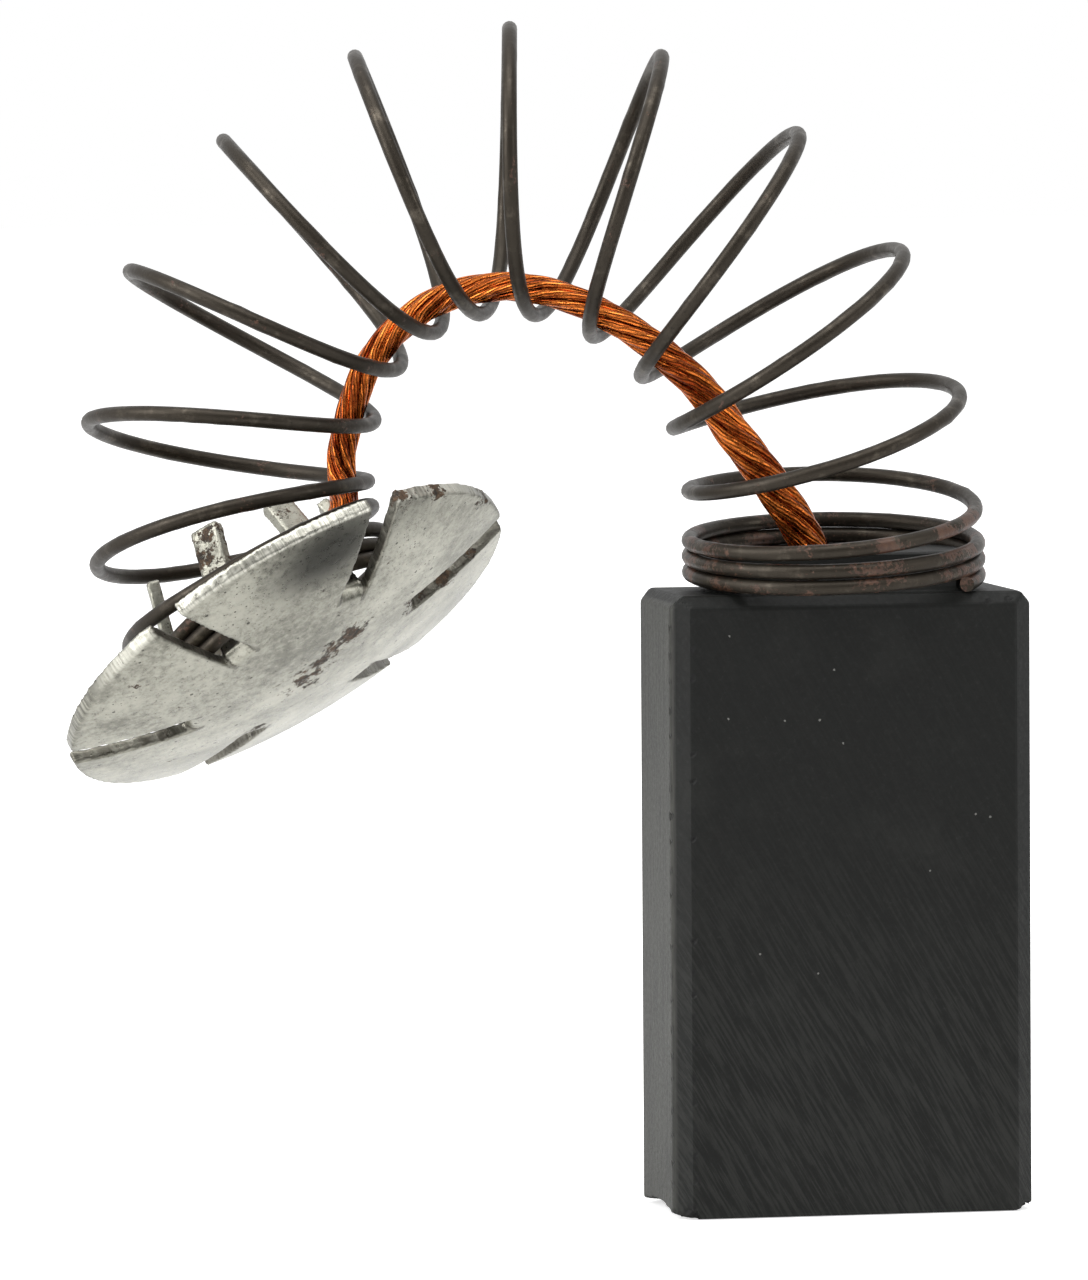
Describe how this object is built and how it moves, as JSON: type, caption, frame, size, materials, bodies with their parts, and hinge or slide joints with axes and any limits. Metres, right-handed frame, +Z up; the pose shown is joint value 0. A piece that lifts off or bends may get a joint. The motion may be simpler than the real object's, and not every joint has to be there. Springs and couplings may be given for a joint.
{
  "type": "carbon brush",
  "caption": "Bevelled carbon block with a bent coil spring, a stranded copper shunt inside it and a slotted, domed terminal cap hanging from the spring's free end.",
  "frame": {"origin": "middle of the worn contact face, level with its two contact edges, which the part stands on", "axes": "+Z up the length of the block towards the spring, X across the broad faces with the cap on the -X side, +Y through the thickness away from the viewer"},
  "size_m": [0.0323, 0.0177, 0.0405],
  "materials": {
    "carbon": "matte ground graphite with fine grinding lines",
    "tamping_powder": "rough tamped powder",
    "copper_strand": "bare twisted copper strands, darkened in the grooves",
    "spring_wire": "dull brown-black oxidised steel wire",
    "tinned_sheet": "tinned sheet with dark specks and rust along its cut edges"
  },
  "bodies": {
    "root": {"carbon_block": "carbon", "tamping_plug": "tamping_powder", "shunt_lead": "copper_strand", "spring": "spring_wire", "terminal_cap": "tinned_sheet"}
  },
  "joints": []
}
